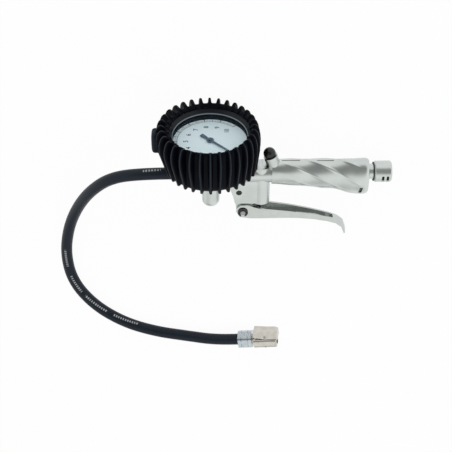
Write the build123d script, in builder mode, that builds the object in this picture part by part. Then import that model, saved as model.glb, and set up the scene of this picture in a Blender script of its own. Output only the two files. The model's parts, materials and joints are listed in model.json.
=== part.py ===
from build123d import *
from math import atan2, cos, degrees, pi, radians, sin, tan
import os

os.makedirs("parts", exist_ok=True)

# ---------------------------------------------------------------------------
# Hand-held tyre inflator, lying at rest on a table, in millimetres.
#
# The gun is drawn in its own frame: X runs back along the grip to the air
# inlet, Z is the axis of the gauge, pointing out of the dial, and the origin
# is where that axis crosses the barrel. The chuck has a frame of its own, and
# the hose is laid on the table. The last section sets gun and chuck down.
# ---------------------------------------------------------------------------

running = 0.05      # radial clearance of a shaft that turns or slides
apart = 0.3         # gap between pieces that move past each other
sheet = 1.2         # pressed steel of the gauge's case and bezel

# Gauge, nominal size 80
case_radius = 40.0
case_back = 14.0            # height of the case's back over the barrel's axis
dial_height = 38.7
dial_radius = case_radius - sheet - 0.6
dial_thickness = 0.8
window_height = dial_height + 6.1
window_thickness = 2.0
case_rim = window_height + 1.2     # the case's open edge
bezel_foot = case_rim - 6.0
bezel_top = case_rim + 4.0
bezel_radius = case_radius + 1.6
bezel_mouth = case_radius - 4.2
needle_length = 29.0
needle_turn = 270.0         # sweep of the scale
arbor_radius = 0.9
stem_radius = 6.5           # threaded stem of the gauge

# Rubber boot round the gauge
boot_foot = case_back - 3.6
fin_foot = boot_foot - 1.4      # the feet of the fins hang below the boot's back
boot_wall_radius = bezel_radius + 1.4
boot_bore_radius = case_radius + 0.05
boot_lip_radius = bezel_radius - 3.2
boot_crest = bezel_top + 10.3
fin_count = 32
fin_radius = boot_wall_radius + 7.3
fin_tip = 1.5               # thickness of a fin at its edge
boot_back_hole = 11.0
ear_reach = boot_wall_radius + 12.2
ear_half_width = 7.5
ear_bottom = 28.0

# Cast body
barrel_radius = 9.6
barrel_front = -12.0
grip_front = 60.0
grip_end = 155.0
column_radius = 8.8
column_top = 12.6
gauge_column_bottom = -38.5
valve_x = 50.0
valve_column_bottom = -34.0
boot_clearance = 0.9
lug_half = 5.5
head_half = 7.8
pivot_x = 32.0
pivot_z = -44.0
pivot_boss = 6.4
flute_count = 6
flute_pitch = 1.8           # degrees of twist for each millimetre of grip
flute_phase = 24.0          # angle of a ridge at flute_datum
flute_datum = 90.0
air_way = 1.9               # radius of the drilled air passages
inlet_thread = 6.6
inlet_depth = 12.0

# Valve
valve_bore = 5.2
valve_bore_top = 8.0
gland_seat = -20.0
gland_hex_height = 3.0
valve_stem_radius = 2.0
poppet_radius = 4.3
poppet_height = 2.4
seal_height = 2.0
spring_wire = 0.9
coil_sides = 8              # straight lengths of wire drawn in each turn of a spring

# Trigger lever
lever_half = 8.0
pin_radius = 2.5
circlip_radius = 5.2
circlip_thickness = 0.9

# Inlet coupling
neck_radius = 7.6
neck_length = 4.6
coupler_radius = 10.5
coupler_length = 17.0
coupler_bore = 6.9
spigot_radius = 5.6
spigot_length = 5.0
slot_depth = 2.4
slot_middle = -2.5
slot_width = 2.4

# Hose and its end
hose_radius = 6.0
ferrule_radius = 8.2
ferrule_length = 18.0
nipple_hex = 16.0
nipple_length = 6.0


def coil_path(radius, pitch, turns, start=(0, 0, 0)):
    """Middle line of a spring's wire, wound round Z up from the start point."""
    points = []
    for k in range(int(turns * coil_sides) + 1):
        a = 2 * pi * k / coil_sides
        height = start[2] + pitch * k / coil_sides
        points.append((start[0] + radius * cos(a), start[1] + radius * sin(a), height))
    return Polyline(*points)


# --- Cast body --------------------------------------------------------------
# Each station of the grip: how far back it is, half its width, its top, its
# bottom, and how deep the six twisted flutes are cut, as a share of its size.
grip_stations = [
    (grip_front, 10.6, 14.0, -11.8, 0.0),
    (71.0, 10.8, 14.6, -13.0, 0.01),
    (82.0, 11.1, 14.9, -14.6, 0.03),
    (93.0, 11.3, 14.9, -15.8, 0.042),
    (104.0, 11.7, 14.8, -16.8, 0.046),
    (115.0, 12.1, 14.6, -18.2, 0.046),
    (126.0, 12.5, 14.5, -20.6, 0.042),
    (137.0, 12.9, 14.4, -24.4, 0.034),
    (146.0, 13.1, 14.4, -25.6, 0.02),
    (153.4, 13.0, 14.3, -25.3, 0.01),
    (grip_end, 11.6, 12.9, -23.8, 0.0),
]


def grip_rim(station):
    """Outline of one section of the grip: an oval whose sides are six shallow arcs."""
    back, half_width, top, bottom, flute = station
    half_height = (top - bottom) / 2
    middle = (top + bottom) / 2
    step = 360 / flute_count
    turn = flute_phase + flute_pitch * (back - flute_datum)

    def rim(angle, share):
        a = radians(angle)
        return (half_width * share * cos(a), middle + half_height * share * sin(a))

    for k in range(flute_count):
        start = turn + k * step
        ThreePointArc(rim(start, 1), rim(start + step / 2, 1 - flute), rim(start + step, 1))


cup_tilt = 18.0
cup_back = fin_radius + 8.1     # clear of the boot's fins
cup_height = 20.6
cup_radius = 6.8
cap_radius = 6.0
cup_plane = Plane(
    origin=(cup_back, 0, cup_height),
    x_dir=(0, 1, 0),
    z_dir=(-sin(radians(cup_tilt)), 0, cos(radians(cup_tilt))),
)
cap_thread = 4.0
cap_thread_length = 7.0

with BuildPart() as gun_body:
    for station in grip_stations:
        with BuildSketch(Plane.YZ.offset(station[0])):
            with BuildLine():
                grip_rim(station)
            make_face()
    loft()
    with BuildSketch(Plane.YZ.offset(barrel_front)):
        Circle(barrel_radius)
    extrude(amount=grip_front - barrel_front + 4)
    # the column that the gauge screws into, with its rounded foot
    with BuildSketch(Plane.XY.offset(gauge_column_bottom)):
        Circle(column_radius)
    extrude(amount=column_top - gauge_column_bottom)
    foot_edge = gun_body.edges().filter_by(GeomType.CIRCLE).sort_by(Axis.Z)[0]
    fillet(foot_edge, radius=column_radius - 2.5)
    # the column of the valve
    with BuildSketch(Plane.XY.offset(valve_column_bottom)):
        with Locations((valve_x, 0)):
            Circle(column_radius)
    extrude(amount=10 - valve_column_bottom)
    # the web that carries the lever's pivot
    with BuildSketch(Plane.XZ):
        with BuildLine():
            front = ThreePointArc((13, -4), (21.2, -22), (25.6, -43))
            Polyline(
                front @ 1, (38.4, -43), (42.5, valve_column_bottom), (56, -26), (56, -4), front @ 0
            )
        make_face()
        with Locations((pivot_x, pivot_z)):
            Circle(pivot_boss)
    extrude(amount=lug_half, both=True)
    # and the wider head above it, which joins the column
    with BuildSketch(Plane.XZ):
        with BuildLine():
            brow = ThreePointArc((14, -4), (20.6, -19), (24, -33))
            Polyline(brow @ 1, (48, -33), (48, -4), brow @ 0)
        make_face()
    extrude(amount=head_half, both=True)
    # the sloping cup behind the gauge
    with BuildSketch(cup_plane.offset(-22)):
        Circle(cup_radius)
    extrude(amount=22)
    # room for the boot
    with BuildSketch(Plane.XY.offset(boot_foot - boot_clearance)):
        Circle(fin_radius + boot_clearance)
        Circle(boot_back_hole - 1, mode=Mode.SUBTRACT)
    extrude(amount=40, mode=Mode.SUBTRACT)
    # threads, bores and air passages
    with BuildSketch(Plane.YZ.offset(grip_end - inlet_depth)):
        Circle(inlet_thread)
    extrude(amount=inlet_depth + 2, mode=Mode.SUBTRACT)
    with BuildSketch(Plane.YZ.offset(barrel_front - 1)):
        Circle(air_way)
    extrude(amount=grip_end - inlet_depth - barrel_front + 1.5, mode=Mode.SUBTRACT)
    with BuildSketch(Plane.XY):
        Circle(stem_radius)
    extrude(amount=case_back, mode=Mode.SUBTRACT)
    with BuildSketch(Plane.XY.offset(valve_column_bottom)):
        with Locations((valve_x, 0)):
            Circle(valve_bore)
    extrude(amount=valve_bore_top - valve_column_bottom, mode=Mode.SUBTRACT)
    with BuildSketch(cup_plane.offset(-cap_thread_length)):
        Circle(cap_thread)
    extrude(amount=cap_thread_length + 2, mode=Mode.SUBTRACT)
    with BuildSketch(Plane.YZ.offset(barrel_front)):
        Circle(stem_radius)
    extrude(amount=5, mode=Mode.SUBTRACT)
    with BuildSketch(Plane.XZ):
        with Locations((pivot_x, pivot_z)):
            Circle(pin_radius + running)
    extrude(amount=lug_half, both=True, mode=Mode.SUBTRACT)
    # the eye in the butt
    with BuildSketch(Plane.XZ):
        with Locations((147.5, -15.0)):
            SlotOverall(9.5, 3.0, rotation=82)
    extrude(amount=20, both=True, mode=Mode.SUBTRACT)
gun_body.part.label = "gun_body"


# --- Bleed button behind the gauge -------------------------------------------
button_travel = 1.6
button_skirt = button_travel + apart

with BuildPart() as bleed_button:
    with BuildSketch(cup_plane.offset(button_skirt)):
        Circle(cap_radius)
    extrude(amount=1.2)
    with Locations(cup_plane.offset(button_skirt + 1.2)):
        Sphere(cap_radius)
    with BuildSketch(cup_plane.offset(button_skirt)):
        Circle(cap_radius + 1)
    extrude(amount=-cap_radius - 2, mode=Mode.SUBTRACT)
    with BuildSketch(cup_plane.offset(-3.4)):
        Circle(cap_thread - running)
    extrude(amount=button_skirt + 3.4)
bleed_button.part.label = "bleed_button"

with BuildPart() as bleed_spring:
    with BuildLine():
        coil = coil_path(cap_thread - 1.2, 0.9, 2.5)
    with BuildSketch(Plane(origin=coil @ 0, z_dir=coil % 0)):
        RegularPolygon(0.33, 6)
    sweep(path=coil, transition=Transition.RIGHT)
bleed_spring.part = bleed_spring.part.moved(cup_plane.offset(0.4 - cap_thread_length).location)
bleed_spring.part.label = "bleed_spring"

# --- Valve ---------------------------------------------------------------------
poppet_bottom = -9.0
seal_bottom = poppet_bottom - seal_height
lever_inside = -50.4        # the lever's floor under the valve

with BuildPart() as valve_gland:
    with BuildSketch(Plane.XY.offset(gland_seat)):
        with Locations((valve_x, 0)):
            Circle(valve_bore - 0.02)
    extrude(amount=seal_bottom - apart - gland_seat)
    with BuildSketch(Plane.XY.offset(gland_seat - gland_hex_height)):
        with Locations((valve_x, 0)):
            RegularPolygon(5.0, 6)
    extrude(amount=gland_hex_height)
    with BuildSketch(Plane.XY.offset(gland_seat - gland_hex_height)):
        with Locations((valve_x, 0)):
            Circle(valve_stem_radius + running)
    extrude(amount=gland_hex_height - gland_seat, mode=Mode.SUBTRACT)
valve_gland.part.label = "valve_gland"

with BuildPart() as valve_stem:
    with BuildSketch(Plane.XY.offset(lever_inside + apart)):
        with Locations((valve_x, 0)):
            Circle(valve_stem_radius)
    extrude(amount=poppet_bottom + 1 - lever_inside - apart)
    with BuildSketch(Plane.XY.offset(poppet_bottom)):
        with Locations((valve_x, 0)):
            Circle(poppet_radius)
    extrude(amount=poppet_height)
    with BuildSketch(Plane.XY.offset(poppet_bottom)):
        with Locations((valve_x, 0)):
            Circle(1.4)
    extrude(amount=poppet_height + 3)
    chamfer(valve_stem.faces().sort_by(Axis.Z)[0].edges(), length=0.8)
valve_stem.part.label = "valve_stem"

with BuildPart() as valve_seal:
    with BuildSketch(Plane.XY.offset(seal_bottom)):
        with Locations((valve_x, 0)):
            Circle(poppet_radius)
            Circle(valve_stem_radius, mode=Mode.SUBTRACT)
    extrude(amount=seal_height)
valve_seal.part.label = "valve_seal"

with BuildPart() as valve_spring:
    with BuildLine():
        valve_coil = coil_path(3.2, 2.6, 5, (valve_x, 0, poppet_bottom + poppet_height + 0.8))
    with BuildSketch(Plane(origin=valve_coil @ 0, z_dir=valve_coil % 0)):
        RegularPolygon(spring_wire / 2, 6)
    sweep(path=valve_coil, transition=Transition.RIGHT)
valve_spring.part.label = "valve_spring"

# --- Trigger lever ---------------------------------------------------------------
lever_under = [
    (29, -50.5), (40, -52.3), (60, -52.4), (77, -52.8), (89, -53.6), (105, -56.2),
    (117, -59.4), (127, -63.6), (133, -69.4), (136.2, -78.4),
]
lever_upper = [
    (137.6, -78.0), (136.6, -69), (134.4, -63.4), (128, -58.5), (120, -55.5), (99, -50),
    (77, -45.4), (55, -42), (41, -37.3), (36.5, -35.4), (30, -35.7), (27, -38.3), (25, -43),
]
lever_plan = [(22, 8.0), (52, 8.0), (85, 7.0), (112, 5.6), (130, 3.8), (139, 2.0)]
channel_plan = [(20, 6.0), (52, 6.0), (85, 5.0), (110, 3.8), (125, 2.4)]
channel_under = [
    (20, lever_inside), (60, lever_inside), (77, -50.8), (89, -51.6), (105, -54.2),
    (116, -57.2), (123, -60.8), (128, -30), (20, -30),
]

with BuildPart() as channel:
    with BuildSketch(Plane.XZ):
        with BuildLine():
            Polyline(*channel_under, close=True)
        make_face()
        with Locations((pivot_x, pivot_z)):
            Circle(pivot_boss + 0.7)
    extrude(amount=12, both=True)
    with BuildSketch(Plane.XY.offset(-90)):
        with BuildLine():
            Polyline(*channel_plan, *[(x, -y) for x, y in reversed(channel_plan)], close=True)
        make_face()
    extrude(amount=70, mode=Mode.INTERSECT)

with BuildPart() as lever:
    with BuildSketch(Plane.XZ):
        with BuildLine():
            Polyline(*lever_under, *lever_upper, close=True)
        make_face()
    extrude(amount=12, both=True)
    with BuildSketch(Plane.XY.offset(-90)):
        with BuildLine():
            Polyline(*lever_plan, *[(x, -y) for x, y in reversed(lever_plan)], close=True)
        make_face()
    extrude(amount=70, mode=Mode.INTERSECT)
    add(channel.part, mode=Mode.SUBTRACT)
    with BuildSketch(Plane.XZ):
        with Locations((pivot_x, pivot_z)):
            Circle(pin_radius)
    extrude(amount=lever_half, both=True, mode=Mode.SUBTRACT)
lever.part.label = "lever"

clip_groove = lever_half + 0.15

with BuildPart() as lever_pin:
    with BuildSketch(Plane.XZ):
        with Locations((pivot_x, pivot_z)):
            Circle(pin_radius)
    extrude(amount=clip_groove + circlip_thickness + 0.8, both=True)
    for side in (-1, 1):
        with BuildSketch(Plane.XZ.offset(side * clip_groove)):
            with Locations((pivot_x, pivot_z)):
                Circle(pin_radius + 1)
                Circle(pin_radius - 0.5, mode=Mode.SUBTRACT)
        extrude(amount=side * circlip_thickness, mode=Mode.SUBTRACT)
lever_pin.part.label = "lever_pin"

with BuildPart() as lever_clips:
    for side in (-1, 1):
        with BuildSketch(Plane.XZ.offset(side * clip_groove)):
            with Locations((pivot_x, pivot_z)):
                Circle(circlip_radius)
                Circle(pin_radius - 0.5, mode=Mode.SUBTRACT)
            with Locations((pivot_x, pivot_z - circlip_radius)):
                Rectangle(3.4, circlip_radius * 2, mode=Mode.SUBTRACT)
            with Locations((pivot_x - 3.2, pivot_z), (pivot_x + 3.2, pivot_z)):
                Circle(0.9, mode=Mode.SUBTRACT)
        extrude(amount=side * circlip_thickness)
lever_clips.part.label = "lever_clips"

# --- Gauge -------------------------------------------------------------------------
window_under = window_height - window_thickness
socket_top = 24.0
tube_radius = 24.0
tube_thickness = 3.0
tube_height = 7.0
tube_bottom = 23.0
plate_radius = 12.0
lower_plate = 26.0
upper_plate = 32.0
plate_thickness = 1.4
pillar_radius = 1.6

with BuildPart() as gauge_seal:
    with BuildSketch(Plane.XY.offset(column_top)):
        Circle(column_radius)
        Circle(stem_radius, mode=Mode.SUBTRACT)
    extrude(amount=case_back - column_top)
gauge_seal.part.label = "gauge_seal"

with BuildPart() as gauge_case:
    with BuildSketch(Plane.XY.offset(case_back)):
        Circle(case_radius)
    extrude(amount=case_rim - case_back)
    with BuildSketch(Plane.XY.offset(case_back + sheet)):
        Circle(case_radius - sheet)
    extrude(amount=40, mode=Mode.SUBTRACT)
    with BuildSketch(Plane.XY.offset(case_back)):
        Circle(stem_radius)
    extrude(amount=sheet, mode=Mode.SUBTRACT)
gauge_case.part.label = "gauge_case"

with BuildPart() as gauge_stem:
    with BuildSketch(Plane.XY.offset(3.0)):
        Circle(stem_radius - 0.02)
    extrude(amount=case_back + sheet - 3.0)
    with BuildSketch(Plane.XY.offset(case_back + sheet)):
        Rectangle(20, 20)
        with Locations((-tube_radius / 2, 0)):
            Rectangle(tube_radius + 5, 9)
    extrude(amount=socket_top - case_back - sheet)
    with BuildSketch(Plane.XY.offset(3.0)):
        Circle(air_way)
    extrude(amount=16, mode=Mode.SUBTRACT)
    with BuildSketch(Plane.XY.offset(tube_bottom)):
        Circle(tube_radius + tube_thickness)
        Circle(tube_radius - tube_thickness, mode=Mode.SUBTRACT)
    extrude(amount=4, mode=Mode.SUBTRACT)
gauge_stem.part.label = "gauge_stem"

with BuildPart() as bourdon_tube:
    with BuildSketch(Plane.XZ):
        with Locations((tube_radius, tube_bottom + tube_height / 2)):
            SlotOverall(tube_height, tube_thickness, rotation=90)
            SlotOverall(tube_height - 1.4, tube_thickness - 1.4, rotation=90, mode=Mode.SUBTRACT)
    revolve(axis=Axis.Z, revolution_arc=250)
bourdon_tube.part = bourdon_tube.part.rotate(Axis.Z, 172)
bourdon_tube.part.label = "bourdon_tube"

pillar_places = [(0, 9), (0, -9)]

with BuildPart() as movement:
    for height in (lower_plate, upper_plate):
        with BuildSketch(Plane.XY.offset(height)):
            SlotOverall(2 * plate_radius, 10, rotation=90)
            Circle(arbor_radius + running, mode=Mode.SUBTRACT)
        extrude(amount=plate_thickness)
    with BuildSketch(Plane.XY.offset(socket_top)):
        with Locations(*pillar_places):
            Circle(pillar_radius)
    extrude(amount=dial_height - dial_thickness - socket_top)
movement.part.label = "movement"

with BuildPart() as gauge_dial:
    with BuildSketch(Plane.XY.offset(dial_height - dial_thickness)):
        Circle(dial_radius)
        Circle(arbor_radius + apart, mode=Mode.SUBTRACT)
    extrude(amount=dial_thickness)
gauge_dial.part.label = "gauge_dial"

with BuildPart() as dial_ring:
    with BuildSketch(Plane.XY.offset(dial_height)):
        Circle(case_radius - sheet - 0.05)
        Circle(bezel_mouth, mode=Mode.SUBTRACT)
    extrude(amount=window_under - dial_height)
dial_ring.part.label = "dial_ring"

needle_height = dial_height + 1.2
zero_angle = -45.0

with BuildPart() as needle:
    with BuildSketch(Plane.XY.offset(needle_height)):
        with BuildLine():
            Polyline(
                (-12, 2.2), (-3, 1.1), (needle_length - 5, 0.7), (needle_length, 0),
                (needle_length - 5, -0.7), (-3, -1.1), (-12, -2.2), close=True,
            )
        make_face()
        Circle(3.6)
    extrude(amount=0.7)
    with BuildSketch(Plane.XY.offset(needle_height + 0.7)):
        Circle(2.0)
    extrude(amount=1.0)
    with BuildSketch(Plane.XY.offset(lower_plate - 1)):
        Circle(arbor_radius)
    extrude(amount=needle_height - lower_plate + 1.2)
    fillet(needle.faces().sort_by(Axis.Z)[-1].edges(), radius=0.4)
needle.part = needle.part.rotate(Axis.Z, zero_angle)
needle.part.label = "needle"

with BuildPart() as gauge_window:
    with BuildSketch(Plane.XY.offset(window_under)):
        Circle(case_radius - sheet - 0.05)
    extrude(amount=window_thickness)
gauge_window.part.label = "gauge_window"

bezel_profile = [
    (case_radius + 0.02, bezel_foot), (bezel_radius - 0.02, bezel_foot),
    (bezel_radius - 0.02, bezel_top - 1.6), (bezel_radius - 0.5, bezel_top - 0.5),
    (bezel_radius - 1.0, bezel_top), (bezel_radius - 1.9, bezel_top - 0.2),
    (bezel_mouth, window_height + 0.2), (bezel_mouth, window_height),
    (case_radius - sheet - 0.05, window_height), (case_radius - sheet - 0.05, case_rim + 0.02),
    (case_radius + 0.02, case_rim + 0.02),
]

with BuildPart() as gauge_bezel:
    with BuildSketch(Plane.XZ):
        with BuildLine():
            Polyline(*bezel_profile, close=True)
        make_face()
    revolve(axis=Axis.Z)
gauge_bezel.part.label = "gauge_bezel"

# --- Rubber boot -----------------------------------------------------------------------
wall = boot_wall_radius
shell_profile = [
    (boot_back_hole, boot_foot), (wall - 1.6, boot_foot), (wall - 0.4, boot_foot + 1.6),
    (wall, boot_foot + 4.6), (wall, bezel_top + 1.0), (wall - 0.4, bezel_top + 3.6),
    (wall - 1.4, bezel_top + 5.2), (wall - 2.4, bezel_top + 5.6), (wall - 3.4, bezel_top + 4.8),
    (wall - 4.2, bezel_top + 2.8), (boot_lip_radius, bezel_top + 1.2), (boot_lip_radius, bezel_top + 0.05),
    (bezel_radius + 0.02, bezel_top + 0.05), (bezel_radius + 0.02, bezel_foot - 0.1),
    (boot_bore_radius, bezel_foot - 0.1), (boot_bore_radius, case_back - 0.35),
    (boot_back_hole, case_back - 0.35),
]
# The valley between two fins and the edge of a fin, point for point, as
# (radius, height) from the foot up over the crest and down to the window.
fin_valley = [
    (wall - 0.5, boot_foot + 5.6), (wall + 0.2, boot_foot + 11.6), (wall + 0.2, bezel_top - 12.0),
    (wall + 0.2, bezel_top - 3.0), (wall + 0.2, bezel_top + 1.2), (wall - 0.2, bezel_top + 3.8),
    (wall - 1.2, bezel_top + 5.4), (wall - 2.4, bezel_top + 5.9), (wall - 3.5, bezel_top + 5.0),
    (wall - 4.1, bezel_top + 3.0),
]
fin_edge = [
    (wall + 2.0, fin_foot), (wall + 4.4, boot_foot + 12.6), (fin_radius - 0.6, bezel_top - 13.0),
    (fin_radius, bezel_top - 4.0), (fin_radius - 0.7, bezel_top + 3.0),
    (fin_radius - 2.7, bezel_top + 8.0), (wall + 2.2, boot_crest), (wall + 0.3, boot_crest - 0.5),
    (wall - 1.8, boot_crest - 2.7), (wall - 4.0, bezel_top + 3.2),
]
fin_inside = [
    (wall - 2.4, bezel_top + 1.6), (wall - 0.8, bezel_top), (wall - 0.8, boot_foot + 2.6),
]
fin_share = 0.8             # part of the pitch that a fin takes up at its root

half_pitch = 180 / fin_count
half_edge = degrees(fin_tip / 2 / fin_radius)
fin_sections = []
for angle, outline in (
    (-half_pitch * fin_share, fin_valley),
    (-half_edge, fin_edge),
    (half_edge, fin_edge),
    (half_pitch * fin_share, fin_valley),
):
    a = radians(angle)
    corners = [(r * cos(a), r * sin(a), z) for r, z in outline + fin_inside]
    fin_sections.append(Wire.make_polygon(corners, close=True))
one_fin = Solid.make_loft(fin_sections, ruled=True)

ear_profile = [
    (0.7 - wall, ear_bottom), (-wall - 4.0, ear_bottom + 2.0), (-wall - 9.6, ear_bottom + 7.0),
    (-ear_reach, ear_bottom + 14.0), (-ear_reach, bezel_top + 4.0),
    (1.4 - ear_reach, bezel_top + 8.6), (-wall - 6.0, boot_crest - 0.1),
    (-wall - 1.6, boot_crest - 0.7), (1.2 - wall, bezel_top + 2.0),
]

with BuildPart() as gauge_boot:
    with BuildSketch(Plane.XZ):
        with BuildLine():
            Polyline(*shell_profile, close=True)
        make_face()
    revolve(axis=Axis.Z)
    with PolarLocations(0, fin_count):
        add(one_fin)
    with BuildSketch(Plane.XZ):
        with BuildLine():
            Polyline(*ear_profile, close=True)
        make_face()
    extrude(amount=ear_half_width, both=True)
gauge_boot.part.label = "gauge_boot"

# --- Air inlet ------------------------------------------------------------------------------
seal_start = grip_end + neck_length
coupler_start = seal_start + 0.9

with BuildPart() as inlet_nipple:
    with BuildSketch(Plane.YZ.offset(grip_end - inlet_depth + 1)):
        Circle(inlet_thread - 0.02)
    extrude(amount=inlet_depth - 1)
    with BuildSketch(Plane.YZ.offset(grip_end)):
        Circle(neck_radius)
    extrude(amount=neck_length)
    with BuildSketch(Plane.YZ.offset(seal_start)):
        Circle(spigot_radius - 0.02)
    extrude(amount=spigot_length)
    with BuildSketch(Plane.YZ.offset(grip_end - inlet_depth)):
        Circle(3.0)
    extrude(amount=inlet_depth + 20, mode=Mode.SUBTRACT)
inlet_nipple.part.label = "inlet_nipple"

with BuildPart() as inlet_seal:
    with BuildSketch(Plane.YZ.offset(seal_start)):
        Circle(9.4)
        Circle(spigot_radius, mode=Mode.SUBTRACT)
    extrude(amount=0.9)
inlet_seal.part.label = "inlet_seal"

with BuildPart() as inlet_coupler:
    with BuildSketch(Plane.YZ.offset(coupler_start)):
        Circle(coupler_radius)
    extrude(amount=coupler_length)
    chamfer(inlet_coupler.edges().sort_by(Axis.X)[-1], length=1.4)
    chamfer(inlet_coupler.edges().sort_by(Axis.X)[0], length=1.2)
    with BuildSketch(Plane.YZ.offset(coupler_start)):
        Circle(spigot_radius)
    extrude(amount=coupler_length, mode=Mode.SUBTRACT)
    with BuildSketch(Plane.YZ.offset(coupler_start + spigot_length)):
        Circle(coupler_bore)
    extrude(amount=coupler_length, mode=Mode.SUBTRACT)
    for back in (8.2, 12.8):
        with BuildSketch(Plane.XZ.offset(coupler_radius - slot_depth)):
            with Locations((coupler_start + back, slot_middle)):
                SlotOverall(8.0, slot_width, rotation=90)
        extrude(amount=slot_depth + 1, mode=Mode.SUBTRACT)
inlet_coupler.part.label = "inlet_coupler"

# --- Hose fitting under the gauge ---------------------------------------------------------------
hex_end = barrel_front - nipple_length
hose_start = hex_end - ferrule_length

with BuildPart() as hose_nipple:
    with BuildSketch(Plane.YZ.offset(hex_end)):
        RegularPolygon(nipple_hex / 2, 6)
    extrude(amount=nipple_length)
    with BuildSketch(Plane.YZ.offset(barrel_front)):
        Circle(stem_radius - 0.02)
    extrude(amount=4.5)
    with BuildSketch(Plane.YZ.offset(hex_end - ferrule_length + 2)):
        Circle(3.4)
    extrude(amount=ferrule_length - 2)
    with BuildSketch(Plane.YZ.offset(hex_end - ferrule_length)):
        Circle(air_way)
    extrude(amount=ferrule_length + nipple_length + 6, mode=Mode.SUBTRACT)
hose_nipple.part.label = "hose_nipple"

with BuildPart() as hose_ferrule:
    with BuildSketch(Plane.YZ.offset(hose_start)):
        Circle(ferrule_radius)
    extrude(amount=ferrule_length)
    chamfer(hose_ferrule.edges().sort_by(Axis.X)[0], length=1.0)
    with BuildSketch(Plane.YZ.offset(hose_start)):
        Circle(3.4)
    extrude(amount=ferrule_length, mode=Mode.SUBTRACT)
    for back in (-23, -27, -31):
        with BuildSketch(Plane.YZ.offset(back)):
            Circle(ferrule_radius)
            Circle(ferrule_radius - 0.5, mode=Mode.SUBTRACT)
        extrude(amount=1.2, mode=Mode.SUBTRACT)
hose_ferrule.part.label = "hose_ferrule"

# --- Clip-on chuck, drawn along X from the end of the hose, its clip on the +Z side ---------
nut_length = 15.0
nut_flat = 9.2              # half the width across the flats
chuck_neck = 2.0
chuck_width = 15.0
chuck_height = 11.0
chuck_length = 25.0
chuck_bore = 4.2
bore_z = -3.0
bore_depth = 10.0
seal_seat = 3.9
mouth_depth = 6.0           # the open part in front of the seal
chuck_start = nut_length + chuck_neck
chuck_end = chuck_start + chuck_length
clip_flat = 2.4             # height of the flat that the clip lies over
clip_half = 7.0
clip_pin_x = 30.0
clip_pin_z = 5.2
clip_pin_radius = 1.4
rib_half = 2.6
cross_pin_x = 29.5
cross_pin_z = -6.6
cross_pin_radius = 1.1

with BuildPart() as chuck_nut:
    with BuildSketch(Plane.YZ):
        RegularPolygon(nut_flat / cos(radians(30)), 6, rotation=30)
    extrude(amount=nut_length)
    with BuildSketch(Plane.YZ):
        Circle(nut_flat + 0.9)
    extrude(amount=nut_length, mode=Mode.INTERSECT)
    for back in (3.6, 10.6):
        with BuildSketch(Plane.YZ.offset(back)):
            Circle(nut_flat + 3)
            Circle(nut_flat - 0.5, mode=Mode.SUBTRACT)
        extrude(amount=0.8, mode=Mode.SUBTRACT)
    with BuildSketch(Plane.YZ):
        Circle(air_way)
    extrude(amount=nut_length, mode=Mode.SUBTRACT)
    with BuildSketch(Plane.YZ.offset(nut_length - 5)):
        Circle(4.5)
    extrude(amount=5, mode=Mode.SUBTRACT)
chuck_nut.part.label = "chuck_nut"

with BuildPart() as chuck_body:
    with BuildSketch(Plane.YZ.offset(chuck_start)):
        with Locations((0, clip_flat - chuck_height / 2)):
            RectangleRounded(chuck_width, chuck_height, 3.4)
    extrude(amount=chuck_length)
    chamfer(chuck_body.faces().sort_by(Axis.X)[-1].edges(), length=0.8)
    with BuildSketch(Plane.XZ):
        with Locations((clip_pin_x, clip_pin_z / 2)):
            Rectangle(7.2, clip_pin_z)
        with Locations((clip_pin_x, clip_pin_z)):
            Circle(3.6)
    extrude(amount=rib_half, both=True)
    with BuildSketch(Plane.YZ.offset(nut_length)):
        Circle(5.4)
    extrude(amount=chuck_neck)
    with BuildSketch(Plane.YZ.offset(nut_length - 5)):
        Circle(4.5 - 0.02)
    extrude(amount=5)
    with BuildSketch(Plane.YZ.offset(chuck_end - bore_depth)):
        with Locations((0, bore_z)):
            Circle(seal_seat)
    extrude(amount=bore_depth, mode=Mode.SUBTRACT)
    with BuildSketch(Plane.YZ.offset(chuck_end - mouth_depth)):
        with Locations((0, bore_z)):
            Circle(chuck_bore)
    extrude(amount=mouth_depth, mode=Mode.SUBTRACT)
    with BuildSketch(Plane.YZ.offset(nut_length - 5)):
        with Locations((0, -1.5)):
            Circle(1.6)
    extrude(amount=chuck_length - 2, mode=Mode.SUBTRACT)
    with BuildSketch(Plane.XZ):
        with Locations((clip_pin_x, clip_pin_z)):
            Circle(clip_pin_radius)
        with Locations((cross_pin_x, cross_pin_z)):
            Circle(cross_pin_radius + 0.02)
    extrude(amount=chuck_width, both=True, mode=Mode.SUBTRACT)
chuck_body.part.label = "chuck_body"

with BuildPart() as cross_pin:
    with BuildSketch(Plane.XZ):
        with Locations((cross_pin_x, cross_pin_z)):
            Circle(cross_pin_radius)
    extrude(amount=chuck_width / 2 - 0.4, both=True)
cross_pin.part.label = "cross_pin"

with BuildPart() as chuck_seal:
    with BuildSketch(Plane.YZ.offset(chuck_end - bore_depth)):
        with Locations((0, bore_z)):
            Circle(seal_seat - 0.02)
            Circle(2.4, mode=Mode.SUBTRACT)
    extrude(amount=bore_depth - mouth_depth - apart)
chuck_seal.part.label = "chuck_seal"

clip_outline = [
    (chuck_start + 0.8, 5.5), (clip_pin_x, clip_flat + 0.5), (chuck_end + 0.4, clip_flat + 0.5),
    (chuck_end + 0.4, 1.6), (chuck_end + 1.8, 1.6), (chuck_end + 1.8, 8.4),
    (chuck_end - 1.0, 10.0), (clip_pin_x + 2, 10.4), (chuck_start + 0.8, 11.8),
]

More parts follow.
